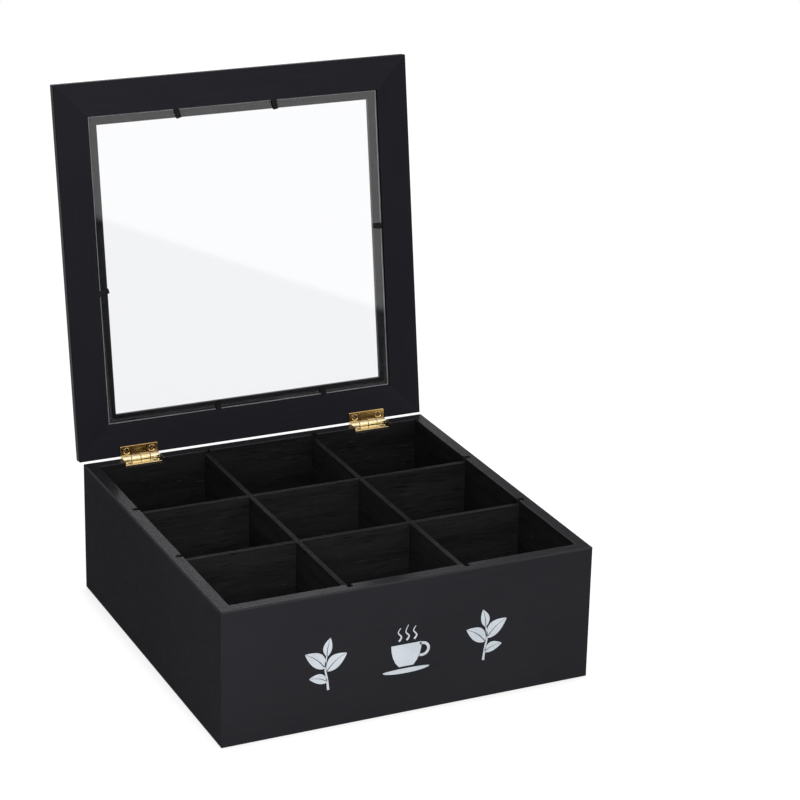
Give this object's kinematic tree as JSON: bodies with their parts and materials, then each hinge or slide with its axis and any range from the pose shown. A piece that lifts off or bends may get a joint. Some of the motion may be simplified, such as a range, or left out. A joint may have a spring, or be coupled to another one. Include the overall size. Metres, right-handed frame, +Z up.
{
  "type": "tea bag organizer box",
  "caption": "Square black wooden tea box with a glazed lid on brass butt hinges and a lift-out divider of crossed boards that makes equal square compartments.",
  "frame": {"origin": "middle of the underside of the box, on the surface that it stands on", "axes": "+X to the right seen from the front, +Y from the front wall to the hinged back wall, +Z up"},
  "size_m": [0.24, 0.2828, 0.3221],
  "materials": {
    "black_paint": "satin black paint on wood, worn a little at the edges",
    "black_stain": "black stain, grain showing",
    "clear_glass": "clear, polished",
    "black_steel": "satin black",
    "brass": "polished"
  },
  "bodies": {
    "box": {"front_wall": "black_paint", "back_wall": "black_paint", "left_wall": "black_paint", "right_wall": "black_paint", "base_panel": "black_stain", "hinge_left_box_leaf": "brass", "hinge_right_box_leaf": "brass", "hinge_left_pin": "brass", "hinge_right_pin": "brass", "hinge_left_box_screws": "brass", "hinge_right_box_screws": "brass"},
    "lid": {"lid_front_rail": "black_paint", "lid_rear_rail": "black_paint", "lid_left_stile": "black_paint", "lid_right_stile": "black_paint", "window_pane": "clear_glass", "glazing_points_front": "black_steel", "glazing_points_rear": "black_steel", "glazing_point_left": "black_steel", "glazing_point_right": "black_steel", "hinge_left_lid_leaf": "brass", "hinge_right_lid_leaf": "brass", "hinge_left_lid_screws": "brass", "hinge_right_lid_screws": "brass"},
    "divider": {"divider_long_front": "black_stain", "divider_long_rear": "black_stain"},
    "cross_left": {"divider_cross_left": "black_stain"},
    "cross_right": {"divider_cross_right": "black_stain"}
  },
  "joints": [
    {"name": "lid_hinge", "type": "hinge", "parent": "box", "child": "lid", "pos_m": [0, 0.12015, 0.0838], "axis": [-1, 0, 0], "range_deg": [-98.5, 0]},
    {"name": "divider_lift", "type": "slide", "parent": "box", "child": "divider", "axis": [0, 0, 1], "range_m": [0, 0.11]},
    {"name": "cross_left_lift", "type": "slide", "parent": "divider", "child": "cross_left", "axis": [0, 0, 1], "range_m": [0, 0.095]},
    {"name": "cross_right_lift", "type": "slide", "parent": "divider", "child": "cross_right", "axis": [0, 0, 1], "range_m": [0, 0.095]}
  ]
}
